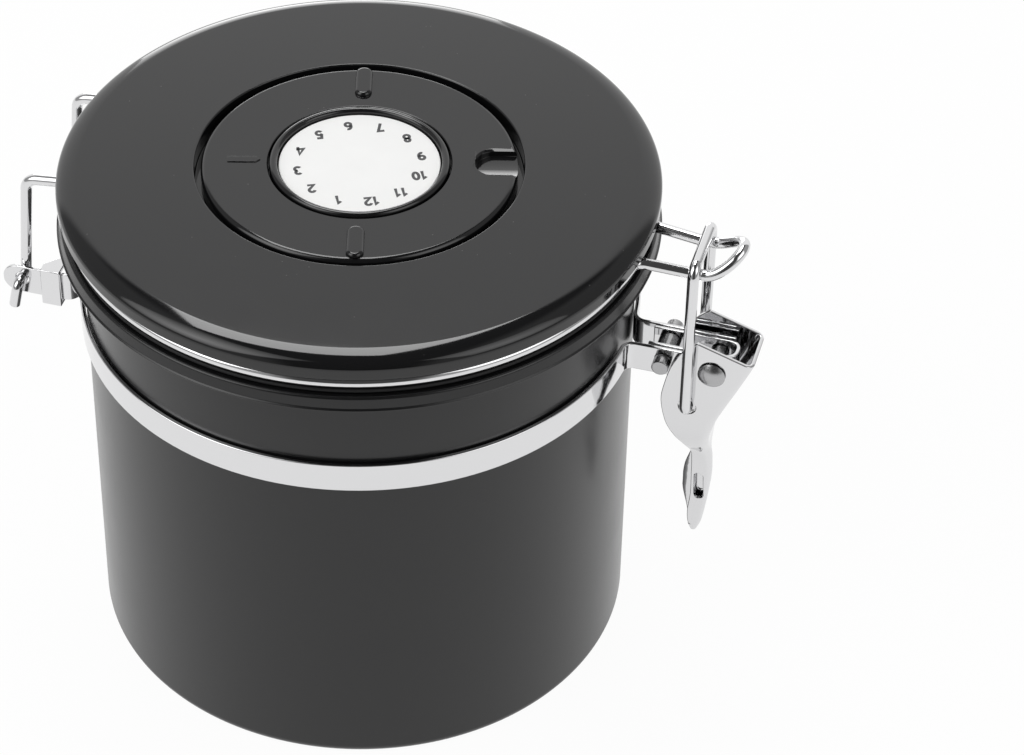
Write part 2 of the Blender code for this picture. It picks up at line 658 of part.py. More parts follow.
def date_disc():
    top, low = LID_PEAK, DISC_Z
    outline = [(DISC_BORE, low), (DISC_R, low), (DISC_R, top - 0.4), (DISC_R - 0.4, top),
               (DISC_BORE + 0.3, top), (DISC_BORE, top - 0.3)]
    disc = turned("date_disc", outline, BLACK_GLOSS)
    turn = radians(DISC_TURN)
    # two raised grips, across the pointer
    for k, sign in enumerate((1, -1)):
        x, y = -sign * GRIP_AT * sin(turn), sign * GRIP_AT * cos(turn)
        grip = prism_mesh(stadium(x, y, GRIP_L, GRIP_W, DISC_TURN + 90), top - 1.0, top + GRIP_H, along_z)
        cut(disc, grip, "grip_%d" % (k + 1), "UNION")
    # scooped finger notch, open at the disc's edge
    r = ((NOTCH_W / 2) ** 2 + NOTCH_DEPTH ** 2) / (2 * NOTCH_DEPTH)
    centre_z = top + r - NOTCH_DEPTH
    start = DISC_BORE + NOTCH_IN + NOTCH_W / 2
    profile = arc(0, start, r, r, -90, 0) + [(r, DISC_R + 5), (0.0, DISC_R + 5)]
    notch = turned_mesh(profile, SEG_HIDDEN)
    for v in notch.verts:
        across, up, out = v.co.x, v.co.y, v.co.z
        v.co = (out * cos(turn) - across * sin(turn), out * sin(turn) + across * cos(turn), centre_z + up)
    cut(disc, notch, "finger_notch")
    # engraved pointer, aimed at the dial
    w = ARROW_W / 2
    tip = DISC_BORE + ARROW_IN
    tail = tip + ARROW_L
    arrow = [(tail, -w), (tail, w), (tip + 1, w), (tip, 0), (tip + 1, -w)]
    arrow = [(-u * cos(turn) + v * sin(turn), -u * sin(turn) - v * cos(turn)) for u, v in arrow]
    cut(disc, prism_mesh(arrow, top - ARROW_DEPTH, top + 1, along_z), "pointer")
    return disc


def dial_bezel():
    inner = BEZEL_R - BEZEL_RIM
    ledge = inner - LEDGE_W
    bore = SPINDLE_R + PIVOT_GAP
    outline = [(bore, BEZEL_Z), (BEZEL_R, BEZEL_Z), (BEZEL_R, BEZEL_TOP - 0.6), (BEZEL_R - 0.5, BEZEL_TOP),
               (inner + 0.5, BEZEL_TOP), (inner, BEZEL_TOP - 0.5), (inner, PLATE_Z - GAP),
               (ledge, PLATE_Z - GAP), (ledge, BEZEL_FLOOR), (bore, BEZEL_FLOOR)]
    return turned("dial_bezel", outline, BLACK_GLOSS, SEG_MID)


def number_plate():
    r = BEZEL_R - BEZEL_RIM - GAP
    outline = [(0, PLATE_Z), (r, PLATE_Z), (r, PLATE_TOP - 0.15), (r - 0.15, PLATE_TOP), (0, PLATE_TOP)]
    return turned("number_plate", outline, WHITE, SEG_MID)


def dial_spindle():
    head = BEZEL_FLOOR + 0.3
    foot = PAN_UNDER - GAP
    outline = [(0, foot - SPINDLE_FOOT_H), (SPINDLE_FOOT_R, foot - SPINDLE_FOOT_H), (SPINDLE_FOOT_R, foot),
               (SPINDLE_R, foot), (SPINDLE_R, head), (SPINDLE_HEAD_R, head),
               (SPINDLE_HEAD_R, head + SPINDLE_HEAD_H), (0, head + SPINDLE_HEAD_H)]
    return turned("dial_spindle", outline, STEEL, SEG_SMALL)


def disc_of(name, r, z, thickness, look):
    return turned(name, [(0, z), (r, z), (r, z + thickness), (0, z + thickness)], look, SEG_HIDDEN)


def valve_stack():
    """Filter cap, filter pad, valve seat and flap, from the plug's floor upwards."""
    r = CHAMBER_R - GAP
    pad_z = PLUG_Z + FILTER_CAP_T + GAP
    seat_z = pad_z + FILTER_T + GAP
    seat_top = seat_z + SEAT_T
    cap = disc_of("filter_cap", r, PLUG_Z, FILTER_CAP_T, BLACK_PLASTIC)
    slots = bmesh.new()
    for k in range(5):
        y = (k - 2) * 3.6
        long = 2 * sqrt((r - 2.0) ** 2 - y ** 2) - 1.0
        prism_mesh(stadium(0, y, long, 1.6, 0, 3), PLUG_Z - 1, PLUG_Z + FILTER_CAP_T + 1, along_z, slots)
    cut(cap, slots, "filter_slots")
    pad = disc_of("filter_pad", r - 0.4, pad_z, FILTER_T, FELT)
    ceiling = seat_z + BULB_H + GAP
    seat = turned("valve_seat", [(STEM_R + GAP, ceiling), (BULB_R + GAP, ceiling), (BULB_R + GAP, seat_z),
                                 (r, seat_z), (r, seat_top + SEAT_STEP), (r - 1.4, seat_top + SEAT_STEP),
                                 (r - 1.4, seat_top), (STEM_R + GAP, seat_top)],
                  BLACK_PLASTIC, SEG_HIDDEN)
    ports = bmesh.new()
    for k in range(6):
        turn = radians(60 * k)
        prism_mesh(circle(PORT_AT * cos(turn), PORT_AT * sin(turn), PORT_R, 10), seat_z - 1, seat_top + 1,
                   along_z, ports)
    cut(seat, ports, "seat_ports")
    flap_z = seat_top + GAP
    shoulder = seat_z + BULB_H
    flap = turned("valve_flap", [(0, seat_z), (BULB_R, seat_z), (BULB_R, shoulder), (STEM_R, shoulder),
                                 (STEM_R, flap_z + 0.1), (3.0, flap_z + 0.3), (FLAP_R, flap_z),
                                 (FLAP_R, flap_z + 0.4), (3.0, flap_z + 0.3 + FLAP_T),
                                 (0, flap_z + 0.4 + FLAP_T)], SILICONE, SEG_SMALL)
    return [cap, pad, seat, flap]


def build():
    can_body()
    clamp_band()
    latch_bracket()
    lever_rivet()
    clamp_screw()
    clamp_nut()
    clamp_spacer()
    hinge_bracket()
    hinge_clip("hinge_clip_near", -1)
    hinge_clip("hinge_clip_far", 1)
    lid_axis = pivot("lid_axis", (HINGE_X, 0, HINGE_Z))
    spin_axis = pivot("dial_axis", (0, 0, LID_PEAK))
    lever_axis = pivot("lever_axis", (LEVER_X, 0, LEVER_Z))
    carry(lid_axis, [lid_wire(), lid_cap(), lid_base(), lid_gasket(), dial_spindle(), *valve_stack()])
    carry(spin_axis, [date_disc(), dial_bezel(), number_plate()])
    carry(lever_axis, [latch_lever(), latch_bail()])


build()
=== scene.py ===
import json
from math import sin, cos, tan, pi, radians, degrees, sqrt, atan2

import bpy
from mathutils import Matrix, Vector

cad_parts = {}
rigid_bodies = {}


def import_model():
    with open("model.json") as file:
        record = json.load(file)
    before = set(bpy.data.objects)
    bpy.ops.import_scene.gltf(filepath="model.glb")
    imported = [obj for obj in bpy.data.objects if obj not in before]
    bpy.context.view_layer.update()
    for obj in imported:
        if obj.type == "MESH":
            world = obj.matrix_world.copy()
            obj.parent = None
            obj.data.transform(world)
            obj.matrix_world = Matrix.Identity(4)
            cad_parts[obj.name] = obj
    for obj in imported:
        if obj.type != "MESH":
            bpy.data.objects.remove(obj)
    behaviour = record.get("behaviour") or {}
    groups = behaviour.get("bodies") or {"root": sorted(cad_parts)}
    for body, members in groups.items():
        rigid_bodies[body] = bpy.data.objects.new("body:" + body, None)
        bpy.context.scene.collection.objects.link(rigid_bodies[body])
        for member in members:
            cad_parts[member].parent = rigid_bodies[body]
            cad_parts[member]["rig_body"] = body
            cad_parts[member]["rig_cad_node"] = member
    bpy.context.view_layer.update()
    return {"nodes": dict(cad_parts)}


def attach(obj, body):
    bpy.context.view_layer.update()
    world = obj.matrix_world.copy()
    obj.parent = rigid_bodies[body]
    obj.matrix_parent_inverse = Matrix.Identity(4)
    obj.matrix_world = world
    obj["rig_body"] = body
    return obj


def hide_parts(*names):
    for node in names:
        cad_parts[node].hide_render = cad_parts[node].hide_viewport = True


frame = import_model()
mm = 0.001               # sizes below are millimetres, angles degrees
print("frame loaded:", len(frame["nodes"]), "nodes")


# the photograph's camera, fitted to the rims, band and lid
shot = {"lens": 122.74, "azimuth": 14.6, "elevation": 40.738, "roll": 1.346,
        "place": (0.18335, -0.56987, 0.57511)}


def setUpCamera():
    turn, tilt, roll = (radians(shot[key]) for key in ("azimuth", "elevation", "roll"))
    back = Vector((sin(turn) * cos(tilt), -cos(turn) * cos(tilt), sin(tilt)))
    level = Vector((cos(turn), sin(turn), 0))
    right = level * cos(roll) + back.cross(level) * sin(roll)
    stand = Matrix((right, back.cross(right), back)).transposed().to_4x4()
    stand.translation = shot["place"]
    lens = bpy.data.cameras.new("photoCamera")
    lens.lens, lens.clip_start = shot["lens"], 0.01
    camera = bpy.data.objects.new("photoCamera", lens)
    camera.matrix_world = stand
    bpy.context.scene.collection.objects.link(camera)
    bpy.context.scene.camera = camera


setUpCamera()
bpy.context.scene.view_settings.view_transform = "Standard"


def linearColour(code):
    # sRGB hex to linear RGBA
    parts = [int(code[i:i + 2], 16) / 255 for i in (1, 3, 5)]
    return (*[p / 12.92 if p <= 0.04045 else ((p + 0.055) / 1.055) ** 2.4 for p in parts], 1)


def addNode(tree, kind, settings=None, links=None):
    # a name that the node has as an input is set there, any other is a property
    node = tree.nodes.new(kind)
    for key, value in (settings or {}).items():
        if isinstance(key, int) or key in node.inputs:
            node.inputs[key].default_value = value
        else:
            setattr(node, key, value)
    for key, source in (links or {}).items():
        tree.links.new(source, node.inputs[key])
    return node


def startFinish(name, colour, roughness, metallic=0.0, **more):
    finish = bpy.data.materials.new(name)
    finish.use_nodes = True
    tree = finish.node_tree
    shader = tree.nodes["Principled BSDF"]
    shader.inputs["Base Color"].default_value = linearColour(colour)
    shader.inputs["Roughness"].default_value = roughness
    shader.inputs["Metallic"].default_value = metallic
    for key, value in more.items():
        shader.inputs[key.replace("_", " ")].default_value = value
    place = addNode(tree, "ShaderNodeTexCoord").outputs["Object"]
    return {"finish": finish, "tree": tree, "shader": shader, "place": place}


def perMetre(size):
    # texture scale for a feature of that many millimetres
    return 1000 / size


def noise(look, size, detail, **more):
    # a cloudy pattern with features of that many millimetres
    return addNode(look["tree"], "ShaderNodeTexNoise",
                   {"Scale": perMetre(size), "Detail": detail, **more},
                   {"Vector": look["place"]}).outputs["Fac"]


def feed(look, source, name):
    look["tree"].links.new(source, look["shader"].inputs[name])


def varyRoughness(look, pattern, low, high):
    haze = addNode(look["tree"], "ShaderNodeMapRange", {"To Min": low, "To Max": high},
                   {"Value": pattern})
    feed(look, haze.outputs["Result"], "Roughness")


def varyTone(look, pattern, first, second):
    tone = addNode(look["tree"], "ShaderNodeMix", {"data_type": "RGBA", 6: linearColour(first),
                   7: linearColour(second)}, {0: pattern})
    feed(look, tone.outputs[2], "Base Color")


def emboss(look, pattern, strength, depth):
    bump = addNode(look["tree"], "ShaderNodeBump", {"Strength": strength, "Distance": depth * mm},
                   {"Height": pattern})
    feed(look, bump.outputs["Normal"], "Normal")


def glossyAbs():
    # injection-moulded ABS from a polished tool: deep gloss, a faint waviness, a few dust specks
    look = startFinish("glossyMouldedAbs", "#141415", 0.06, IOR=1.54)
    varyRoughness(look, noise(look, 9, 3.0), 0.045, 0.1)
    emboss(look, noise(look, 3.5, 1.0), 0.5, 0.004)
    seeds = addNode(look["tree"], "ShaderNodeTexVoronoi", {"Scale": perMetre(4.5)},
                    {"Vector": look["place"]})
    speck = addNode(look["tree"], "ShaderNodeMapRange", {"From Min": 0.02, "From Max": 0.035,
                    "To Min": 0.3, "To Max": 0.0}, {"Value": seeds.outputs["Distance"]})
    varyTone(look, speck.outputs["Result"], "#141415", "#8c8c8a")
    return look["finish"]


def satinPowderCoat():
    # powder coat sprayed on drawn steel and stoved: satin, with a fine grain
    look = startFinish("satinPowderCoat", "#161617", 0.25, IOR=1.5)
    varyRoughness(look, noise(look, 14, 4.0), 0.2, 0.28)
    # its grain is about 0.1 mm, drawn at 0.4 mm so that it shows
    emboss(look, noise(look, 0.4, 2.0), 0.25, 0.006)
    return look["finish"]


def brightSteel(name, colour, lowest, highest, wave):
    # rolled or drawn stainless steel, finished bright: polished strip, or tumbled pins and screws
    look = startFinish(name, colour, lowest, 1.0)
    varyRoughness(look, noise(look, 2.2, 5.0), lowest, highest)
    emboss(look, noise(look, 4, 1.0), 0.6, wave)
    return look["finish"]


def mattRubber():
    # moulded silicone: matt, with the dusty bloom that rubber picks up
    look = startFinish("mouldedSilicone", "#101011", 0.55, IOR=1.42)
    varyTone(look, noise(look, 6, 5.0), "#0d0d0e", "#1b1b1c")
    emboss(look, noise(look, 0.5, 2.0), 0.3, 0.01)
    return look["finish"]


def sparkEtchedPp():
    # polypropylene liner from a spark-etched tool: an even fine texture with a soft shine
    look = startFinish("sparkEtchedPolypropylene", "#19191a", 0.42, IOR=1.49)
    emboss(look, noise(look, 0.45, 3.0), 0.5, 0.015)
    varyRoughness(look, noise(look, 12, 3.0), 0.36, 0.48)
    return look["finish"]


def whiteDialPlate():
    # white polystyrene plate, lightly polished, with a trace of unevenness in its tone
    look = startFinish("polishedWhitePolystyrene", "#ededec", 0.32, IOR=1.55)
    varyTone(look, noise(look, 7, 3.0), "#ebebea", "#f0f0ef")
    return look["finish"]


def padPrintInk():
    # pad-printed ink: thin, flat and slightly uneven in strength
    look = startFinish("padPrintedInk", "#38383a", 0.5)
    varyTone(look, noise(look, 0.6, 2.0), "#323234", "#424244")
    return look["finish"]


def needledFelt():
    # needled polyester filter pad: matt, with loose fibres about 0.6 mm apart
    look = startFinish("needledPolyesterFelt", "#cfcabb", 0.95)
    fibre = noise(look, 0.6, 6.0, Distortion=1.5)
    varyTone(look, fibre, "#b9b3a2", "#dedaca")
    emboss(look, fibre, 0.8, 0.15)
    return look["finish"]


glossBlack = glossyAbs()
powderCoat = satinPowderCoat()
polished = brightSteel("polishedStainless", "#dfdfe0", 0.04, 0.1, 0.003)
pinSteel = brightSteel("tumbledSteel", "#b4b4b5", 0.2, 0.32, 0.01)
silicone = mattRubber()
liner = sparkEtchedPp()
plateWhite = whiteDialPlate()
ink = padPrintInk()
felt = needledFelt()
print("finishes made")


def deselectAll():
    if bpy.context.mode != "OBJECT":
        bpy.ops.object.mode_set(mode="OBJECT")
    bpy.ops.object.select_all(action="DESELECT")


def placeVertices(piece, points):
    flat = [value * mm for point in points for value in point]
    piece.data.vertices.foreach_set("co", flat)
    piece.data.update()


def applyModifier(piece, kind, **settings):
    bpy.context.view_layer.objects.active = piece
    bpy.ops.object.modifier_add(type=kind)
    modifier = piece.modifiers[-1]
    for key, value in settings.items():
        setattr(modifier, key, value)
    bpy.ops.object.modifier_apply(modifier=modifier.name)


def cleanShell(piece, merge=0.002):
    # seams merged, stray edges gone, faces outward
    bpy.context.view_layer.objects.active = piece
    bpy.ops.object.mode_set(mode="EDIT")
    bpy.ops.mesh.select_mode(type="VERT")
    bpy.ops.mesh.select_all(action="SELECT")
    bpy.ops.mesh.remove_doubles(threshold=merge * mm)
    bpy.ops.mesh.delete_loose()
    bpy.ops.mesh.select_all(action="SELECT")
    bpy.ops.mesh.normals_make_consistent(inside=False)
    bpy.ops.object.mode_set(mode="OBJECT")


def mergeFlats(piece, angle=0.3):
    # faces in one plane become one face, so that holes and roundings cut cleanly
    bpy.context.view_layer.objects.active = piece
    bpy.ops.object.mode_set(mode="EDIT")
    bpy.ops.mesh.select_all(action="SELECT")
    bpy.ops.mesh.dissolve_limited(angle_limit=radians(angle))
    bpy.ops.object.mode_set(mode="OBJECT")


def smoothShading(piece, angle=32):
    deselectAll()
    piece.select_set(True)
    bpy.context.view_layer.objects.active = piece
    bpy.ops.object.shade_smooth_by_angle(angle=radians(angle))
    applyModifier(piece, "WEIGHTED_NORMAL", keep_sharp=True)


def filletCorners(corners, steps=5):
    # closed outline of (u, v, fillet radius)
    outline = []
    for i, (u, v, fillet) in enumerate(corners):
        here = Vector((u, v))
        before = Vector(corners[i - 1][:2]) - here
        after = Vector(corners[(i + 1) % len(corners)][:2]) - here
        if fillet <= 0:
            outline.append((u, v))
            continue
        half = before.angle(after) / 2
        run = min(fillet / tan(half), before.length * 0.48, after.length * 0.48)
        radius = run * tan(half)
        middle = here + (before.normalized() + after.normalized()).normalized() * radius / sin(half)
        first = here + before.normalized() * run - middle
        last = here + after.normalized() * run - middle
        sweep = first.angle_signed(last)
        for k in range(steps + 1):
            turn = -sweep * k / steps
            outline.append((middle.x + first.x * cos(turn) - first.y * sin(turn),
                            middle.y + first.x * sin(turn) + first.y * cos(turn)))
    return outline


def ellipseArc(cu, cv, ru, rv, start, end, steps):
    turns = [radians(start + (end - start) * k / steps) for k in range(steps + 1)]
    return [(cu + ru * cos(t), cv + rv * sin(t)) for t in turns]


def roundEdges(piece, width, angle, inside, segments=3):
    # rounds the sharp edges that lie where inside(x, y, z) holds
    deselectAll()
    bpy.context.view_layer.objects.active = piece
    bpy.ops.object.mode_set(mode="EDIT")
    bpy.ops.mesh.select_mode(type="EDGE")
    bpy.ops.mesh.select_all(action="DESELECT")
    bpy.ops.mesh.edges_select_sharp(sharpness=radians(angle))
    bpy.ops.object.mode_set(mode="OBJECT")
    points = [vertex.co / mm for vertex in piece.data.vertices]
    for edge in piece.data.edges:
        ends = [points[v] for v in edge.vertices]
        if not all(inside(*end) for end in ends) or (ends[0] - ends[1]).length < 0.05:
            edge.select = False
    bpy.ops.object.mode_set(mode="EDIT")
    bpy.ops.mesh.bevel(offset=width * mm, segments=segments, affect="EDGES", clamp_overlap=False)
    bpy.ops.object.mode_set(mode="OBJECT")


def bevelSharp(piece, width, angle=38, clamp=False):
    applyModifier(piece, "BEVEL", width=width * mm, segments=3, limit_method="ANGLE",
                  angle_limit=radians(angle), use_clamp_overlap=clamp)


def cutWith(piece, tool, operation="DIFFERENCE"):
    applyModifier(piece, "BOOLEAN", operation=operation, object=tool, solver="EXACT")
    bpy.data.objects.remove(tool, do_unlink=True)


def drill(piece, middle, radius, depth, steps, rotation=(pi / 2, 0, 0)):
    # a round hole, along Y unless its rotation says otherwise
    deselectAll()
    bpy.ops.mesh.primitive_cylinder_add(vertices=steps, radius=radius * mm, depth=depth * mm,
                                        location=[value * mm for value in middle], rotation=rotation)
    cutWith(piece, bpy.context.object)


def prism(outline, low, high, edge=0.0, lean=(0, 0), alongY=False):
    # closed outline raised along Z, or Y; its far edge can be rounded and its sides can lean
    deselectAll()
    bpy.ops.mesh.primitive_circle_add(vertices=len(outline), fill_type="NGON")
    tool = bpy.context.object
    placeVertices(tool, [(u, low, v) if alongY else (u, v, low) for u, v in outline])
    rise = (0, high - low, 0) if alongY else (*lean, high - low)
    bpy.ops.object.mode_set(mode="EDIT")
    bpy.ops.mesh.select_all(action="SELECT")
    bpy.ops.mesh.extrude_region_move(TRANSFORM_OT_translate={"value": [value * mm for value in rise]})
    if edge:
        bpy.ops.mesh.bevel(offset=edge * mm, segments=5, affect="EDGES")
    bpy.ops.mesh.select_all(action="SELECT")
    bpy.ops.mesh.normals_make_consistent(inside=False)
    bpy.ops.object.mode_set(mode="OBJECT")
    return tool


def turned(points, degreesOn):
    c, s = cos(radians(degreesOn)), sin(radians(degreesOn))
    return [(c * u - s * v, s * u + c * v) for u, v in points]


def pillOutline(middle, long, wide, steps):
    half, r = (long - wide) / 2, wide / 2
    return (ellipseArc(middle + half, 0, r, r, -90, 90, steps)
            + ellipseArc(middle - half, 0, r, r, 90, 270, steps))


def bentGrid(rows):
    # an open sheet through rows of points
    deselectAll()
    bpy.ops.mesh.primitive_grid_add(x_subdivisions=len(rows[0]) - 1, y_subdivisions=len(rows) - 1)
    sheet = bpy.context.object
    placeVertices(sheet, [point for row in rows for point in row])
    return sheet


def turnOnLathe(name, outline, steps=192, pin=None):
    # outline is a closed loop of (radius, height); pin = (x, z) turns it about a line along Y
    deselectAll()
    bpy.ops.mesh.primitive_circle_add(vertices=len(outline))
    piece = bpy.context.object
    piece.name = name
    x, z = pin or (0, 0)
    placeVertices(piece, [(x + r, h, z) if pin else (r, 0, h) for r, h in outline])
    bpy.ops.object.mode_set(mode="EDIT")
    bpy.ops.mesh.select_all(action="SELECT")
    bpy.ops.mesh.spin(steps=steps, angle=2 * pi, use_auto_merge=True, center=(x * mm, 0, z * mm),
                      axis=(0, 1, 0) if pin else (0, 0, 1))
    bpy.ops.object.mode_set(mode="OBJECT")
    cleanShell(piece)
    smoothShading(piece)
    return piece


def foldSheet(name, rows, thickness, edge=0.22, holes=()):
    # a sheet bent to rows of points and pierced across at each (x, z, radius, reach), edges rounded
    piece = bentGrid(rows)
    piece.name = name
    applyModifier(piece, "SOLIDIFY", thickness=thickness * mm, offset=0, use_even_offset=True,
                  use_quality_normals=True)
    cleanShell(piece)
    mergeFlats(piece)
    for x, z, radius, reach in holes:
        drill(piece, (x, 0, z), radius, 2 * reach, 40)
    bevelSharp(piece, edge)
    smoothShading(piece, 40)
    return piece


def bendWire(name, path, radius, taper=0.35):
    # round wire along the path, its two ends dressed to a small radius
    deselectAll()
    bpy.ops.curve.primitive_nurbs_path_add()
    wire = bpy.context.object
    wire.name = name
    data = wire.data
    data.splines.clear()
    spline = data.splines.new("POLY")
    path = [Vector(p) for p in path]
    ends = [(0.0, 0.62), (0.25, 0.86), (0.65, 0.97), (1.0, 1.0)]
    first, last = (path[1] - path[0]).normalized(), (path[-2] - path[-1]).normalized()
    stations = [(path[0] + first * taper * a, w) for a, w in ends]
    stations += [(p, 1.0) for p in path[1:-1]]
    stations += [(path[-1] + last * taper * a, w) for a, w in ends[::-1]]
    spline.points.add(len(stations) - 1)
    for point, (place, share) in zip(spline.points, stations):
        point.co, point.radius = (*(place * mm), 1), share
    data.bevel_depth, data.bevel_resolution, data.use_fill_caps = radius * mm, 8, True
    bpy.ops.object.convert(target="MESH")
    piece = bpy.context.object
    cleanShell(piece)
    smoothShading(piece, 50)
    return piece


def roundCorners(points, radius, steps=12):
    points = [Vector(p) for p in points]
    path = [points[0]]
    for before, corner, after in zip(points, points[1:], points[2:]):
        a, b = (before - corner).normalized(), (after - corner).normalized()
        half = a.angle(b) / 2
        middle = corner + (a + b).normalized() * radius / sin(half)
        first, last = corner + a * radius / tan(half) - middle, corner + b * radius / tan(half) - middle
        path += [middle + first.slerp(last, k / steps).normalized() * radius for k in range(steps + 1)]
    return path + [points[-1]]


def refineCopy(node, edge):
    # a copy of a CAD node with merged faces, its edges rounded
    deselectAll()
    piece = frame["nodes"][node].copy()
    piece.data = piece.data.copy()
    piece.parent = None
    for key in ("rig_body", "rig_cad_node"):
        if key in piece:
            del piece[key]
    bpy.context.scene.collection.objects.link(piece)
    piece.select_set(True)
    bpy.context.view_layer.objects.active = piece
    bpy.ops.object.mode_set(mode="EDIT")
    bpy.ops.mesh.select_all(action="SELECT")
    bpy.ops.mesh.remove_doubles(threshold=0.002 * mm)
    bpy.ops.mesh.dissolve_limited(angle_limit=radians(2))
    bpy.ops.object.mode_set(mode="OBJECT")
    bevelSharp(piece, edge, clamp=True)
    smoothShading(piece, 38)
    return piece


def dress(piece, name, body, finish, *nodes):
    piece.name = piece.data.name = name
    piece.data.materials.clear()
    piece.data.materials.append(finish)
    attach(piece, body)
    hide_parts(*nodes)
    return piece


def turnOut(half, ring, endX, bend, away=1, steps=12):
    # plan of a leg at y = half, its bend, and the angle where that meets the ring
    y = half + away * bend
    x = sqrt((ring + bend) ** 2 - y * y)
    meet = degrees(atan2(y, x))
    return [(endX, half)] + ellipseArc(x, y, bend, bend, -90 * away, meet - 180 * away, steps), meet


can = {"radius": 60.5, "wall": 0.8, "height": 109.5, "foot": 2.6, "rimOut": 65.6, "rimSheet": 0.9,
       "skirt": 3.1, "lean": 0.9, "bead": 0.6, "step": 0.35}


def canOutline():
    r, top, out = can["radius"], can["height"], can["rimOut"]
    under = top - can["rimSheet"]
    hem, bead = top - can["skirt"], can["bead"]
    return filletCorners([(0, 0, 0), (r, 0, can["foot"]), (r, under, 0.7),
                          (out - can["lean"] - can["rimSheet"], under, 0.3),
                          (out - can["rimSheet"], hem, 0.25), (out, hem, 0.2),
                          (out, hem + bead / 2, 0.12), (out - can["step"], hem + bead, 0.25),
                          (out - can["lean"], top, 0.7), (r - can["wall"], top, 0.35),
                          (r - can["wall"], can["wall"], can["foot"] - can["wall"]),
                          (0, can["wall"], 0)], 7)


dress(turnOnLathe("canShell", canOutline(), 224), "canShell", "can", powderCoat, "can_body")
print("can done")


band = {"ring": 61.3, "sheet": 1.0, "low": 81.2, "high": 88.2, "ear": 4.0, "earEnd": 84.0, "bend": 2.5}
lever = {"x": 81.0, "z": 85.3, "sheet": 0.9, "hole": 1.8, "bailHole": 2.0, "drillLong": 20}
bail = {"x": 76.0, "low": 74.8, "high": 114.5, "half": 8.6, "end": 5.0, "wire": 1.25, "bend": 2.6}
clampPin = {"x": 69.7, "z": 85.3, "hole": 1.7}
bracket = {"half": 2.75, "front": 85.15, "back": 66.0, "corner": 2.2, "low": 82.2, "high": 88.2,
           "sheet": 0.9}
hinge = {"x": -73.0, "z": 85.2, "leg": 17.45, "legEnd": 74.1, "ring": 62.55, "sheet": 0.9, "hole": 1.55,
         "bend": 2.5}


def upright(plan, low, high):
    return [[(x, y, low), (x, y, high)] for x, y in plan]


def pinHoles(reach):
    return [(part["x"], part["z"], part["hole"], reach) for part in (lever, clampPin)]


def clampBand():
    ear, meet = turnOut(band["ear"], band["ring"], band["earEnd"], band["bend"])
    plan = ear + ellipseArc(0, 0, band["ring"], band["ring"], meet, 360 - meet, 150)[1:-1]
    plan += [(x, -y) for x, y in ear[::-1]]
    return foldSheet("clampBand", upright(plan, band["low"], band["high"]), band["sheet"], 0.28,
                     pinHoles(band["ear"] + 2))


def latchBracket():
    end, corner, half = bracket["front"], bracket["corner"], bracket["half"]
    leg = [(bracket["back"], -half)]
    leg += ellipseArc(end - corner, -half + corner, corner, corner, -90, 0, 8)
    plan = leg + [(x, -y) for x, y in leg[::-1]]
    return foldSheet("latchBracket", upright(plan, bracket["low"], bracket["high"]), bracket["sheet"],
                     0.22, pinHoles(half + 1))


def hingeBracket():
    # legs with rounded ends, as heights either side of the middle
    middle, tall = (band["low"] + band["high"]) / 2, (band["high"] - band["low"]) / 2
    leg, meet = turnOut(hinge["leg"], hinge["ring"], hinge["legEnd"], hinge["bend"], -1)
    tip = [(hinge["legEnd"] + tall * sin(radians(a)), hinge["leg"], tall * cos(radians(a)))
           for a in range(78, 0, -6)]
    web = ellipseArc(0, 0, hinge["ring"], hinge["ring"], meet, -meet, 24)
    half = tip + [(x, y, tall) for x, y in leg]
    whole = half + [(x, y, tall) for x, y in web[1:-1]] + [(x, -y, h) for x, y, h in half[::-1]]
    rows = [[(-x, -y, middle - h), (-x, -y, middle + h)] for x, y, h in whole]
    return foldSheet("hingeBracket", rows, hinge["sheet"], 0.2,
                     [(hinge["x"], hinge["z"], hinge["hole"], hinge["leg"] + 1)])


dress(clampBand(), "clampBand", "can", polished, "clamp_band")
dress(latchBracket(), "latchBracket", "can", polished, "latch_bracket")
dress(hingeBracket(), "hingeBracket", "can", polished, "hinge_bracket")
for name, node in (("hingeClipNear", "hinge_clip_near"), ("hingeClipFar", "hinge_clip_far")):
    dress(refineCopy(node, 0.22), name, "can", polished, node)
print("band and brackets done")


rivet = {"shaft": 1.5, "seat": 6.6, "head": 3.05, "rim": 0.15, "top": 8.0}
screw = {"head": 1.9, "stem": 1.4, "seat": 4.8, "tall": 2.8, "tip": 8.2, "edge": 0.35, "dish": 0.12}


def leverRivet():
    # each head is a shallow spherical cap on a thin rim
    rise = rivet["top"] - rivet["seat"] - rivet["rim"]
    ball = (rivet["head"] ** 2 + rise ** 2) / (2 * rise)
    edge = degrees(atan2(ball - rise, rivet["head"]))
    far = [(rivet["shaft"], rivet["seat"]), (rivet["head"] - 0.1, rivet["seat"])]
    far += ellipseArc(0, rivet["top"] - ball, ball, ball, edge, 90, 18)
    near = [(r, -h) for r, h in far[::-1]]
    return turnOnLathe("leverRivet", near + far, 64, (lever["x"], lever["z"]))


def clampScrew():
    end = -screw["seat"] - screw["tall"]
    corners = [(0, end + screw["dish"], 0), (screw["head"], end, screw["edge"]),
               (screw["head"], -screw["seat"], 0.2), (screw["stem"], -screw["seat"], 0.1),
               (screw["stem"], screw["tip"], 0.4), (0, screw["tip"], 0)]
    return turnOnLathe("clampScrew", filletCorners(corners, 4), 56, (clampPin["x"], clampPin["z"]))


def clampNut():
    inner, outer, seat = screw["stem"] + 0.1, screw["head"], screw["seat"]
    end = seat + screw["tall"]
    corners = [(inner, seat, 0.1), (outer, seat, 0.2), (outer, end, 0.35), (inner, end, 0.12)]
    return turnOnLathe("clampNut", filletCorners(corners, 4), 56, (clampPin["x"], clampPin["z"]))


dress(leverRivet(), "leverRivet", "can", pinSteel, "lever_rivet")
dress(clampScrew(), "clampScrew", "can", pinSteel, "clamp_screw")
dress(clampNut(), "clampNut", "can", pinSteel, "clamp_nut")
print("rivet and screw done")


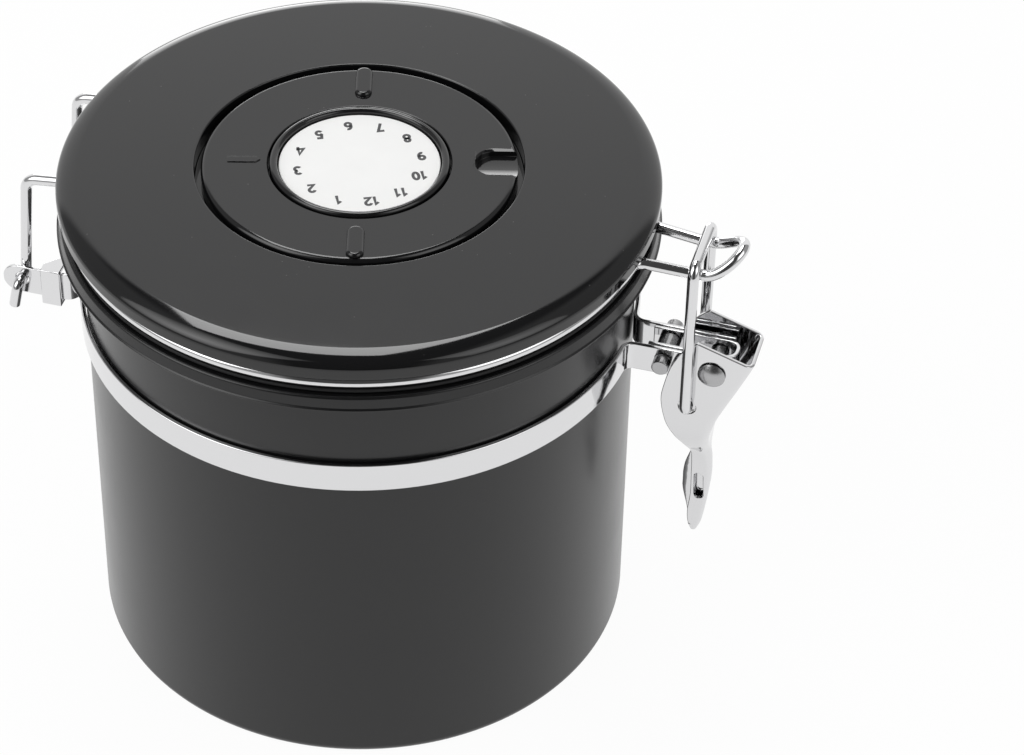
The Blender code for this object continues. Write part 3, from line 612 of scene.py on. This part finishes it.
# from the rivet: inner edge (x, z), outer edge (x, z), half width, extra reach of the far leaf
lever["profile"] = [(-3.5, 7.6, 9.0, 3.4, 6.3, 0), (-6.4, 5.0, 7.8, 0.4, 6.3, 0),
                    (-9.0, 0.1, 5.6, -4.7, 6.3, 0), (-10.4, -5.3, 3.5, -9.4, 6.3, 0),
                    (-10.9, -10.0, 1.7, -13.6, 6.3, 0), (-9.7, -15.7, 0.9, -16.2, 6.3, 0),
                    (-7.7, -19.5, 0.2, -19.0, 5.9, 0), (-5.6, -22.9, -0.2, -22.5, 4.5, 0),
                    (-4.3, -26.0, -0.2, -26.0, 2.6, 0), (-4.1, -29.0, 0.3, -29.0, 1.65, 0.6),
                    (-4.0, -34.0, 0.5, -34.0, 1.35, 2.0), (-3.9, -40.1, 0.0, -40.1, 1.35, 2.3),
                    (-4.3, -45.0, -0.6, -45.2, 1.35, 0.7), (-4.1, -48.4, -1.2, -48.8, 1.35, 0.1),
                    (-3.2, -51.0, -2.1, -51.2, 1.1, 0)]
lever["corner"] = 1.5        # bend radius between cheek and web, at the sheet's middle
lever["slot"] = {"x": -2.15, "z": -37.4, "long": 7.4, "wide": 2.1, "tilt": 93, "reach": 9}
lever["edge"], lever["edgesTo"] = 0.2, 49.5
lever["curl"] = 0.35         # how much of its extra reach the far leaf curls away by


def smoothStations(stations, steps):
    # passes through every station, and its width never swells between two
    smooth = []
    last = len(stations) - 1
    for i in range(last):
        a, b = stations[max(i - 1, 0)], stations[i]
        c, d = stations[i + 1], stations[min(i + 2, last)]
        for k in range(steps):
            t = k / steps
            blend = [0.5 * (2 * q + (r - p) * t + (2 * p - 5 * q + 4 * r - s) * t * t
                            + (3 * q - p - 3 * r + s) * t ** 3) for p, q, r, s in zip(a, b, c, d)]
            for j in (4, 5):
                blend[j] = min(max(blend[j], min(b[j], c[j])), max(b[j], c[j]))
            smooth.append(tuple(blend))
    return smooth + [stations[-1]]


def leverRows():
    rows = []
    skin = lever["sheet"] / 2
    for ix, iz, ox, oz, wide, flare in smoothStations(lever["profile"], 5):
        inner = Vector((lever["x"] + ix, 0, lever["z"] + iz))
        run = Vector((ox - ix, 0, oz - iz))
        long = run.length - skin
        run.normalize()
        leaf = wide - skin
        bend = max(min(lever["corner"], leaf * 0.85, long * 0.5), skin + 0.03)
        corner = ellipseArc(long - bend, -leaf + bend, bend, bend, -90, 0, 6)
        flat = long - bend
        near = [(0, -leaf), (min(0.35, flat / 3), -leaf), (flat / 2, -leaf)] + corner
        chain = near + [(a, -y) for a, y in near[::-1]]
        chain[-1] = (-flare, leaf + lever["curl"] * flare)
        rows.append([tuple(inner + run * a + Vector((0, y, 0))) for a, y in chain])
    return rows


def hangSlotTool():
    # only through the near leaf
    slot = lever["slot"]
    outline = turned(pillOutline(0, slot["long"], slot["wide"], 12), slot["tilt"])
    x, z = lever["x"] + slot["x"], lever["z"] + slot["z"]
    return prism([(x + u, z + v) for u, v in outline], -slot["reach"], 0, alongY=True)


def latchLever():
    piece = bentGrid(leverRows())
    applyModifier(piece, "SOLIDIFY", thickness=lever["sheet"] * mm, offset=0, use_quality_normals=True)
    cleanShell(piece, 0.04)
    mergeFlats(piece)
    drill(piece, (lever["x"], 0, lever["z"]), lever["hole"], lever["drillLong"], 48)
    drill(piece, (bail["x"], 0, bail["low"]), lever["bailHole"], lever["drillLong"], 48)
    cutWith(piece, hangSlotTool())
    # rounded everywhere but at the very tip, where the fold is as tight as the sheet is thick
    roundEdges(piece, lever["edge"], 45, lambda x, y, z: z > lever["z"] - lever["edgesTo"])
    smoothShading(piece, 40)
    return piece


def latchBail():
    path = [(bail["x"], y, z) for y, z in ((-bail["end"], bail["low"]), (-bail["half"], bail["low"]),
                                           (-bail["half"], bail["high"]), (bail["half"], bail["high"]),
                                           (bail["half"], bail["low"]), (bail["end"], bail["low"]))]
    return bendWire("latchBail", roundCorners(path, bail["bend"]), bail["wire"])


dress(latchLever(), "latchLever", "lever", polished, "latch_lever")
dress(latchBail(), "latchBail", "bail", polished, "latch_bail")
print("lever and bail done")


wire = {"radius": 1.25, "ring": 63.0, "z": 112.4, "bend": 3.0, "pinBend": 1.5, "arm": 15.5,
        "tail": (-74.2, -20.6, 79.4), "lean": 2.0, "drop": 0.9, "loopHalf": 6.4, "loopNarrow": 5.8,
        "loopZ": 111.7, "loopStart": 73.8, "noseX": 78.2, "nose": 6.6, "rise": 4.6}


def lidWire():
    # one rod: hinge pin, arm, half the ring and half the loop, then the same back
    ring, high = wire["ring"], wire["z"]
    arm, back = turnOut(wire["arm"], ring, -hinge["x"], wire["bend"])
    loop, front = turnOut(wire["loopHalf"], ring, wire["loopStart"], wire["bend"])
    top = (hinge["x"] + wire["lean"], -wire["arm"], high - wire["drop"])
    tail = wire["tail"]
    path = roundCorners([tail, (hinge["x"], tail[1], hinge["z"]),
                         (hinge["x"], -wire["arm"], hinge["z"]), top], wire["pinBend"])[:-1]
    path += roundCorners([path[-1], top, (-arm[1][0], -wire["arm"], high)], wire["bend"])[1:-1]
    path += [(-x, -y, high) for x, y in arm[1:]]
    path += [(x, y, high) for x, y in ellipseArc(0, 0, ring, ring, 180 + back, 360 - front, 72)[1:-1]]
    path += [(x, -y, high) for x, y in loop[:0:-1]]
    path.append((wire["loopStart"], -wire["loopNarrow"], wire["loopZ"]))
    for k in range(25):
        turn = radians(90 * k / 25)
        path.append((wire["noseX"] + wire["nose"] * sin(turn), -wire["loopNarrow"] * cos(turn),
                     wire["loopZ"] + wire["rise"] * sin(turn) ** 1.5))
    near = [Vector(p) for p in path]
    nose = Vector((wire["noseX"] + wire["nose"], 0, wire["loopZ"] + wire["rise"]))
    return bendWire("lidWire", near + [nose] + [Vector((p.x, -p.y, p.z)) for p in near[::-1]],
                    wire["radius"])


dress(lidWire(), "lidWire", "lid", polished, "lid_wire")
print("lid wire done")


lid = {"radius": 65.2, "low": 114.5, "top": 119.6, "peak": 120.6, "flank": 2.2, "crown": 5.7,
       "wall": 1.2, "bore": 35.5, "pan": 116.6, "hole": 2.3, "domeBend": 0.18, "inside": 11, "sag": 0.25}
# vents in the pan, under the dial, twisted so that no corner meets an edge of the pan
vent = {"at": 8, "z": 116, "radius": 1.5, "long": 6, "twist": 0.06}
gasket = {"inner": 53.2, "outer": 63.6, "low": 109.8, "high": 110.7}
base = {"plug": 52.4, "plugLow": 106.5, "flange": 111.0, "reach": 61.4, "top": 117.9, "wall": 1.4,
        "chamber": 13.0, "roof": 115.1, "lip": 1.2}


def lidOutline():
    r, low, top, wall = lid["radius"], lid["low"], lid["top"], lid["wall"]
    crownR, crownZ, rise = r - lid["crown"], low + lid["flank"], top - low - lid["flank"]
    under = lid["pan"] - wall
    skirt = filletCorners([(r - wall, low, 0.25), (r, low, 0.4), (r, crownZ, 0),
                           (r - wall, crownZ, 0)], 5)[:-2]
    # above the crown's crisp upper edge the top rises slightly to the pan
    crown = ellipseArc(crownR, crownZ, lid["crown"], rise, 2, 78, 24)
    bore, pan, hole, bend = lid["bore"], lid["pan"], lid["hole"], lid["domeBend"]
    reach, start, peak = crown[-1][0] - bore, crown[-1][1], lid["peak"]
    dome = [(bore + reach * (1 - t), start + (peak - start) * ((1 + bend) * t - bend * t * t))
            for t in (k / 16 for k in range(1, 16))]
    middle = filletCorners([(bore + 1.5, peak, 0), (bore, peak, 0.4), (bore, pan, 0.2), (hole, pan, 0.1),
                            (hole, under, 0), (bore + wall, under, 0.3), (bore + wall, peak - wall, 0.2),
                            (crownR - lid["inside"], peak - wall - lid["sag"], 0)], 5)[1:]
    inside = ellipseArc(crownR, crownZ, lid["crown"] - wall, rise - wall, 88, 0, 14)
    return skirt + crown + dome + middle + inside


def baseOutline():
    w = base["wall"]
    chamber, low, plug, reach = (base[key] for key in ("chamber", "plugLow", "plug", "reach"))
    flange, top, roof = base["flange"], base["top"], base["roof"]
    tube, shelf, lip = chamber + w, flange + w, reach - base["lip"]
    return filletCorners([(chamber, low, 0.2), (plug - 0.4, low, 0.7), (plug, flange, 0.2),
                          (reach, flange, 0.2), (reach, top, 0.2), (lip, top, 0.2), (lip, shelf, 0.2),
                          (plug - w, shelf, 0.2), (plug - w - 0.4, low + w, 0.2), (tube, low + w, 0.2),
                          (tube, roof, 0.2), (chamber, roof, 0.2)], 4)


def gasketOutline():
    inner, outer, low, high = (gasket[key] for key in ("inner", "outer", "low", "high"))
    return filletCorners([(inner, low + 0.1, 0.25), (outer, low, 0.35), (outer, high, 0.35),
                          (inner, high, 0.25)], 4)


def lidCap():
    piece = turnOnLathe("lidCap", lidOutline(), 256)
    for side in (45, 135, 225, 315):
        x, y = turned([(vent["at"], 0)], side)[0]
        drill(piece, (x, y, vent["z"]), vent["radius"], vent["long"], 24, (0, 0, vent["twist"]))
    smoothShading(piece)
    return piece


dress(lidCap(), "lidCap", "lid", glossBlack, "lid_cap")
dress(turnOnLathe("lidLiner", baseOutline(), 192), "lidLiner", "lid", liner, "lid_base")
dress(turnOnLathe("lidGasket", gasketOutline(), 192), "lidGasket", "lid", silicone, "lid_gasket")
print("lid done")


disc = {"bore": 19.8, "radius": 34.1, "low": 116.9, "top": 120.6, "turn": 15.5, "round": 1.2,
        "edge": 0.08, "root": 1}
grip = {"at": 28.3, "long": 10.4, "wide": 3.8, "tall": 1.0, "edge": 0.85}
notch = {"start": 24.7, "wide": 8.8, "deep": 1.6, "lowest": 2.2, "slope": 20, "flare": 2.4,
         "flareLong": 2.0, "lip": 0.8, "lipSlope": 18, "lipFrom": 172.5, "edge": 0.12, "edgeFrom": 2.3,
         "past": 45}
pointer = {"tail": 28.4, "tip": 21.3, "wide": 1.8, "tall": 0.25}
dial = {"radius": 19.4, "rim": 1.7, "low": 117.2, "top": 121.2, "ledge": 14.0, "floor": 118.15,
        "bore": 2.3, "plate": 17.4, "plateLow": 119.1, "plateTop": 120.1, "underPlate": 0.3}
numerals = {"radius": 13.5, "tall": 2.9, "stroke": 0.225, "gap": 0.1, "first": -62, "up": -63,
            "thick": 0.05, "middle": 0.46}


def notchTool():
    # a steep far wall and round end, and a floor that rises to the near side in one long curve
    wide, low, flare, past = notch["wide"] / 2, notch["lowest"], notch["flare"], notch["past"]
    edge = disc["radius"] + 0.4
    plan = [(past, wide), (past, -wide - flare), (edge, -wide - flare)]
    plan += ellipseArc(edge - notch["flareLong"], -wide - flare, notch["flareLong"], flare, 0, 90, 8)
    plan += ellipseArc(notch["start"] + wide, 0, wide, wide, 270, 90, 24)
    tool = prism(turned(plan, disc["turn"]), disc["top"] - 4, disc["top"] + 2)
    curve = (wide + low) / sin(radians(notch["slope"]))
    floor = turnOnLathe("scoop", [(0, 20), (curve, 20), (curve, 50), (0, 50)], 160)
    deselectAll()
    floor.select_set(True)
    bpy.context.view_layer.objects.active = floor
    floor.rotation_euler = (0, pi / 2, radians(disc["turn"]))
    x, y = turned([(0, low)], disc["turn"])[0]
    floor.location = (x * mm, y * mm, (disc["top"] + curve - notch["deep"]) * mm)
    bpy.ops.object.transform_apply(location=True, rotation=True, scale=True)
    cutWith(tool, floor, "INTERSECT")
    return tool


def farRimTool():
    # slopes the far rim towards the notch, running out round its end
    wide, past, over = notch["wide"] / 2, notch["past"], 0.05
    slope = tan(radians(notch["lipSlope"]))
    rim = ellipseArc(notch["start"] + wide, -over / slope, wide, wide, notch["lipFrom"], 90, 11)
    rim += [(past, rim[-1][1]), (past, 0), (notch["start"] + 1, 0)]
    fall = notch["lip"] * slope + over
    lean = turned([(0, 2 * fall / slope)], disc["turn"])[0]
    return prism(turned(rim, disc["turn"]), disc["top"] - fall, disc["top"] + fall, 0, lean)


def atFarRim(x, y, z):
    u, v = turned([(x, y)], -disc["turn"])[0]
    beside = notch["edgeFrom"] < v < notch["wide"] / 2 + 1
    return u > notch["start"] and beside and z > disc["top"] - 0.02


def dateDisc():
    low, top, turn = disc["low"], disc["top"], disc["turn"]
    outline = filletCorners([(disc["bore"], low, 0.2), (disc["radius"], low, 0.2),
                             (disc["radius"], top, disc["round"]), (disc["bore"], top, 0.35)], 6)
    piece = turnOnLathe("dateDisc", outline, 224)
    mergeFlats(piece)
    cutWith(piece, notchTool())
    cutWith(piece, farRimTool())
    roundEdges(piece, notch["edge"], 15, atFarRim)
    pill, root = pillOutline(grip["at"], grip["long"], grip["wide"], 16), top - disc["root"]
    for side in (90, -90):
        raised = prism(turned(pill, turn + side), root, top + grip["tall"], grip["edge"])
        cutWith(piece, raised, "UNION")
    # the pointer is a low raised arrow
    tail, neck, w = pointer["tail"], pointer["tip"] + 1, pointer["wide"] / 2
    arrow = [(tail, -w), (tail, w), (neck, w), (pointer["tip"], 0), (neck, -w)]
    cutWith(piece, prism(turned(arrow, turn + 180), root, top + pointer["tall"]), "UNION")
    bevelSharp(piece, disc["edge"], 32)
    smoothShading(piece, 30)
    return piece


def bezelOutline():
    r, low, top, bore, floor = (dial[key] for key in ("radius", "low", "top", "bore", "floor"))
    inner, ledge, shelf = r - dial["rim"], dial["ledge"], dial["plateLow"] - dial["underPlate"]
    return filletCorners([(bore, low, 0.2), (r, low, 0.3), (r, top, 0.9), (inner, top, 0.9),
                          (inner, shelf, 0.1), (ledge, shelf, 0.1), (ledge, floor, 0.1),
                          (bore, floor, 0.1)], 8)


def plateOutline():
    r, low, top = dial["plate"], dial["plateLow"], dial["plateTop"]
    return filletCorners([(0, low, 0), (r, low, 0.15), (r, top, 0.2), (0, top, 0)], 4)


def arcTo(cu, cv, ru, rv, start, end):
    return ellipseArc(cu, cv, ru, rv, start, end, max(6, int(abs(end - start) / 12)))


# each figure in a box of height 1: its width, then its strokes
figures = {
    "0": (0.6, [arcTo(0.3, 0.5, 0.21, 0.41, 90, 450)]),
    "1": (0.42, [[(0.08, 0.7), (0.3, 0.9), (0.3, 0.0)]]),
    "2": (0.6, [arcTo(0.29, 0.68, 0.21, 0.23, 165, -35) + [(0.08, 0.08), (0.56, 0.08)]]),
    "3": (0.6, [arcTo(0.28, 0.7, 0.19, 0.21, 150, -80), arcTo(0.28, 0.29, 0.22, 0.22, 80, -150)]),
    "4": (0.64, [[(0.46, 0.0), (0.46, 0.9), (0.06, 0.26), (0.62, 0.26)]]),
    "5": (0.6, [[(0.52, 0.92), (0.17, 0.92), (0.12, 0.5)] + arcTo(0.29, 0.3, 0.21, 0.23, 130, -150)]),
    "6": (0.6, [arcTo(0.3, 0.29, 0.21, 0.22, 90, 450), arcTo(0.34, 0.44, 0.25, 0.42, 182, 70)]),
    "7": (0.58, [[(0.06, 0.92), (0.52, 0.92), (0.22, 0.0)]]),
    "8": (0.6, [arcTo(0.3, 0.7, 0.18, 0.19, 90, 450), arcTo(0.3, 0.29, 0.21, 0.22, 90, 450)]),
    "9": (0.6, [arcTo(0.3, 0.71, 0.21, 0.22, 90, 450), arcTo(0.26, 0.56, 0.25, 0.42, 2, -110)]),
}


def printStroke(path, low):
    # a flat band of ink along the path, in the plane of the plate
    half = numerals["stroke"] * numerals["tall"] / 2
    path = [Vector(p) for p in path]
    closed = (path[0] - path[-1]).length < 0.01
    rows = []
    for i, here in enumerate(path):         # a closed stroke joins its own start
        before = here - path[i - 1] if i else (here - path[-2] if closed else path[1] - here)
        after = path[i + 1] - here if i + 1 < len(path) else (path[1] - here if closed else before)
        before, after = before.normalized(), after.normalized()
        mean = (before + after).normalized()
        across = Vector((-mean.y, mean.x)) * half / max(before.dot(mean), 0.6)
        rows.append([(*(here + across), low), (*(here - across), low)])
    stroke = bentGrid(rows)
    cleanShell(stroke)
    applyModifier(stroke, "SOLIDIFY", thickness=numerals["thick"] * mm, offset=0)
    cleanShell(stroke)
    return stroke


def dialNumbers():
    # twelve months, all read from one side
    tall, rise, up = numerals["tall"], numerals["middle"], radians(numerals["up"])
    upward, along = Vector((cos(up), sin(up))), Vector((sin(up), -cos(up)))
    made = []
    for number in range(1, 13):
        digits = [figures[digit] for digit in str(number)]
        whole = sum(width for width, strokes in digits) + numerals["gap"] * (len(digits) - 1)
        turn = radians(numerals["first"] - 30 * number)
        middle = Vector((cos(turn), sin(turn))) * numerals["radius"]
        left = -whole / 2
        for width, strokes in digits:
            for stroke in strokes:
                path = [middle + (along * (left + u) + upward * (v - rise)) * tall for u, v in stroke]
                made.append(printStroke(path, dial["plateTop"] + numerals["thick"] / 2))
            left += width + numerals["gap"]
    deselectAll()
    for stroke in made:
        stroke.select_set(True)
    bpy.context.view_layer.objects.active = made[0]
    bpy.ops.object.join()
    return made[0]


dress(dateDisc(), "dateDisc", "disc", glossBlack, "date_disc")
dress(turnOnLathe("dialBezel", bezelOutline(), 160), "dialBezel", "dial", glossBlack, "dial_bezel")
dress(turnOnLathe("numberPlate", plateOutline(), 160), "numberPlate", "dial", plateWhite,
      "number_plate")
numbers = dialNumbers()
numbers.name = numbers.data.name = "dialNumbers"
numbers.data.materials.clear()
numbers.data.materials.append(ink)
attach(numbers, "dial")
print("disc and dial done")


# inside the lid: the slotted filter cap, and small parts whose CAD shape is kept
dress(refineCopy("filter_cap", 0.15), "filterCap", "lid", liner, "filter_cap")
kept = {"filter_pad": felt, "valve_seat": liner, "valve_flap": silicone, "dial_spindle": pinSteel,
        "clamp_spacer": pinSteel}
for node, finish in kept.items():
    frame["nodes"][node].data.materials.clear()
    frame["nodes"][node].data.materials.append(finish)


studio = {"floor": 8.0, "seen": 0.96, "mirrored": 0.8, "floorTone": "#f4f4f4", "fill": 0.28,
          "unlit": 0.06, "sides": 0.34, "ahead": (0.57, 0.67), "beside": (0.3, 0.5)}
# the side and rear softboxes carry grids, so their light fades away from their axes
lamps = [
    {"name": "overheadSoftbox", "place": (-0.193, 0.355, 0.92), "aim": (-0.193, 0.356, 0),
     "wide": 0.41, "long": 0.52, "power": 4.1, "spread": 180},
    {"name": "leftSoftbox", "place": (-0.537, -0.434, 0.747), "aim": (0, 0, 0.1),
     "wide": 0.72, "long": 0.95, "power": 0.9, "spread": 70},
    {"name": "rightSoftbox", "place": (0.8, -0.25, 0.73), "aim": (0, 0, 0.1),
     "wide": 0.7, "long": 0.8, "power": 0.42, "spread": 70},
    {"name": "rearSoftbox", "place": (-0.4, 1.03, 0.27), "aim": (0, 0, 0.27),
     "wide": 0.5, "long": 0.5, "power": 0.23, "spread": 50},
]


def aimAt(thing, target):
    thing.rotation_euler = (Vector(target) - thing.location).to_track_quat("-Z", "Y").to_euler()


def setUpLamps():
    for lamp in lamps:
        light = bpy.data.lights.new(lamp["name"], "AREA")
        light.shape, light.size, light.size_y = "RECTANGLE", lamp["wide"], lamp["long"]
        light.energy, light.spread = lamp["power"], radians(lamp["spread"])
        holder = bpy.data.objects.new(lamp["name"], light)
        holder.location = lamp["place"]
        aimAt(holder, lamp["aim"])
        bpy.context.scene.collection.objects.link(holder)


def seenStraight(tree, ray):
    # 1 for rays from the camera and rays that have only passed through a surface
    return addNode(tree, "ShaderNodeMath", {"operation": "MAXIMUM"},
                   {0: ray.outputs["Is Camera Ray"], 1: ray.outputs["Is Transmission Ray"]}).outputs[0]


def mixShaders(tree, share, first, second):
    return addNode(tree, "ShaderNodeMixShader", {}, {0: share, 1: first.outputs[0],
                                                     2: second.outputs[0]})


def setUpFloor():
    deselectAll()
    bpy.ops.mesh.primitive_plane_add(size=studio["floor"])
    floor = bpy.context.object
    floor.name = "floor"
    paper = bpy.data.materials.new("paleBackdropPaper")     # seamless studio paper, lit to white
    paper.use_nodes = True
    tree = paper.node_tree
    shader = tree.nodes["Principled BSDF"]
    shader.inputs["Base Color"].default_value = linearColour(studio["floorTone"])
    shader.inputs["Roughness"].default_value = 0.9
    shader.inputs["Specular IOR Level"].default_value = 0.1
    ray = addNode(tree, "ShaderNodeLightPath")
    seen = addNode(tree, "ShaderNodeMath", {"operation": "MULTIPLY", 1: studio["seen"]},
                   {0: seenStraight(tree, ray)})
    share = addNode(tree, "ShaderNodeMath", {"operation": "MULTIPLY_ADD", 1: studio["mirrored"]},
                    {0: ray.outputs["Is Glossy Ray"], 2: seen.outputs[0]})
    glow = addNode(tree, "ShaderNodeEmission", {"Strength": 1.0})
    mix = mixShaders(tree, share.outputs[0], shader, glow)
    tree.links.new(mix.outputs[0], tree.nodes["Material Output"].inputs["Surface"])
    floor.data.materials.append(paper)


def setUpSurround():
    # white all round to the eye; gloss sees the lit backdrop ahead and a dim room round the camera
    world = bpy.data.worlds.new("studioSurround")
    bpy.context.scene.world = world
    world.use_nodes = True
    tree = world.node_tree
    tree.nodes.clear()
    way = addNode(tree, "ShaderNodeTexCoord").outputs["Generated"]
    turn = radians(shot["azimuth"])
    shares = []
    away, right = (-sin(turn), cos(turn), 0), (cos(turn), sin(turn), 0)
    for axis, (low, high) in ((away, studio["ahead"]), (right, studio["beside"])):
        along = addNode(tree, "ShaderNodeVectorMath", {"operation": "DOT_PRODUCT", 1: axis}, {0: way})
        value = along.outputs["Value"]
        if shares:      # the same on the left and on the right
            value = addNode(tree, "ShaderNodeMath", {"operation": "ABSOLUTE"}, {0: value}).outputs[0]
        share = addNode(tree, "ShaderNodeMapRange", {"interpolation_type": "SMOOTHSTEP",
                        "From Min": low, "From Max": high}, {"Value": value})
        shares.append(share.outputs["Result"])
    room = addNode(tree, "ShaderNodeMix", {"data_type": "RGBA", 6: (*[studio["unlit"]] * 3, 1),
                   7: (*[studio["sides"]] * 3, 1)}, {0: shares[1]})
    shade = addNode(tree, "ShaderNodeMix", {"data_type": "RGBA", 7: (1, 1, 1, 1)},
                    {0: shares[0], 6: room.outputs[2]})
    ray = addNode(tree, "ShaderNodeLightPath")
    sharp = addNode(tree, "ShaderNodeBackground", {"Strength": 1.0}, {"Color": shade.outputs[2]})
    soft = addNode(tree, "ShaderNodeBackground", {"Color": (1, 1, 1, 1), "Strength": studio["fill"]})
    white = addNode(tree, "ShaderNodeBackground", {"Color": (1, 1, 1, 1), "Strength": 1.0})
    gloss = mixShaders(tree, ray.outputs["Is Glossy Ray"], soft, sharp)
    seen = mixShaders(tree, seenStraight(tree, ray), gloss, white)
    addNode(tree, "ShaderNodeOutputWorld", {}, {"Surface": seen.outputs[0]})


setUpLamps()
setUpFloor()
setUpSurround()
print("studio done")
